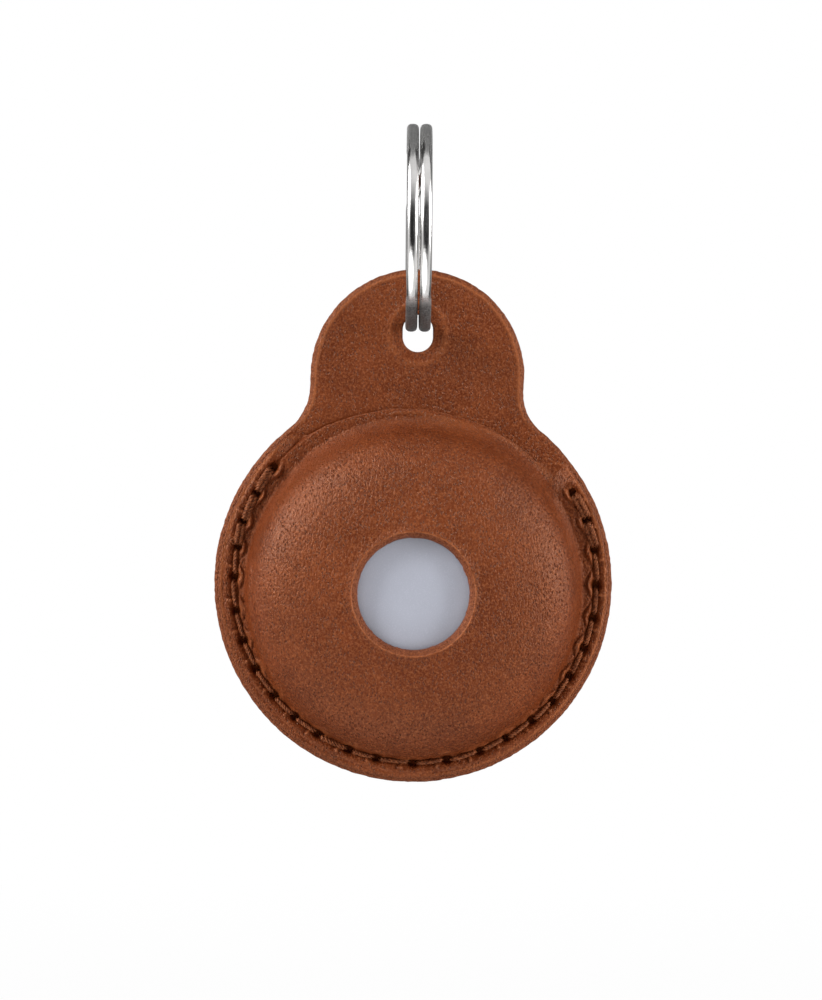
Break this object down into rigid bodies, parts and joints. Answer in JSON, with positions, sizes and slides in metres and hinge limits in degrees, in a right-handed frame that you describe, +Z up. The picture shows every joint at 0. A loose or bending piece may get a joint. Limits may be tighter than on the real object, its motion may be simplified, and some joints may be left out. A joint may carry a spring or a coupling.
{
  "type": "tracker tag holder",
  "caption": "Keyhole-shaped leather holder with a moulded, stitched pocket and a round window over a disc-shaped tracker tag, hung on a split key ring.",
  "frame": {"origin": "middle of the split key ring, which the holder hangs from", "axes": "+Z up, from the pocket towards the key ring; -Y the front, with the window; +X to the right seen from the front"},
  "size_m": [0.046, 0.024, 0.0761],
  "materials": {
    "leather": "oiled full-grain leather, brown",
    "thread": "waxed twisted thread, brown",
    "ring_steel": "polished",
    "cover_plastic": "glossy, pale blue-grey",
    "frame_plastic": "matte, white",
    "board": "solder mask, dark green",
    "shield": "tinned",
    "chips": "moulded, black",
    "copper": "bare copper",
    "speaker_steel": "plated",
    "magnet": "plated",
    "contact_gold": "gold plated",
    "cell_steel": "satin",
    "gasket": "matte, black",
    "cell_body": "satin",
    "lid_steel": "polished"
  },
  "bodies": {
    "holder": {"back_panel": "leather", "front_panel": "leather", "needle_thread": "thread", "bobbin_thread": "thread"},
    "lip": {"mouth_lip": "leather"},
    "ring": {"key_ring": "ring_steel"},
    "tag": {"tag_cover": "cover_plastic", "tag_frame": "frame_plastic", "circuit_board": "board", "shield_can": "shield", "board_chips": "chips", "antenna_coil": "copper", "speaker_yoke": "speaker_steel", "speaker_magnet": "magnet", "voice_coil": "copper", "battery_contacts": "contact_gold", "cell_can": "cell_steel", "cell_gasket": "gasket", "cell_cap": "cell_body"},
    "battery_cover": {"battery_lid": "lid_steel", "lid_bayonet": "frame_plastic"}
  },
  "joints": [
    {"name": "ring_swing", "type": "hinge", "parent": "holder", "child": "ring", "pos_m": [0, 0, -0.0118], "axis": [0, 1, 0], "range_deg": [-90, 90]},
    {"name": "tag_slide", "type": "slide", "parent": "holder", "child": "tag", "axis": [0, 0, 1], "range_m": [0, 0.01], "deforming": ["front_panel", "mouth_lip"]},
    {"name": "mouth_lift", "type": "hinge", "parent": "holder", "child": "lip", "pos_m": [0.00082, -0.01014, -0.03168], "axis": [0.9963, 0, -0.0863], "range_deg": [0, 45]},
    {"name": "battery_cover_twist", "type": "hinge", "parent": "tag", "child": "battery_cover", "pos_m": [0, 0, -0.0419], "axis": [0, 1, 0], "range_deg": [0, 18]}
  ],
  "couplings": [
    {"joint": "mouth_lift", "follows": "tag_slide", "rad_per_m": 70}
  ]
}
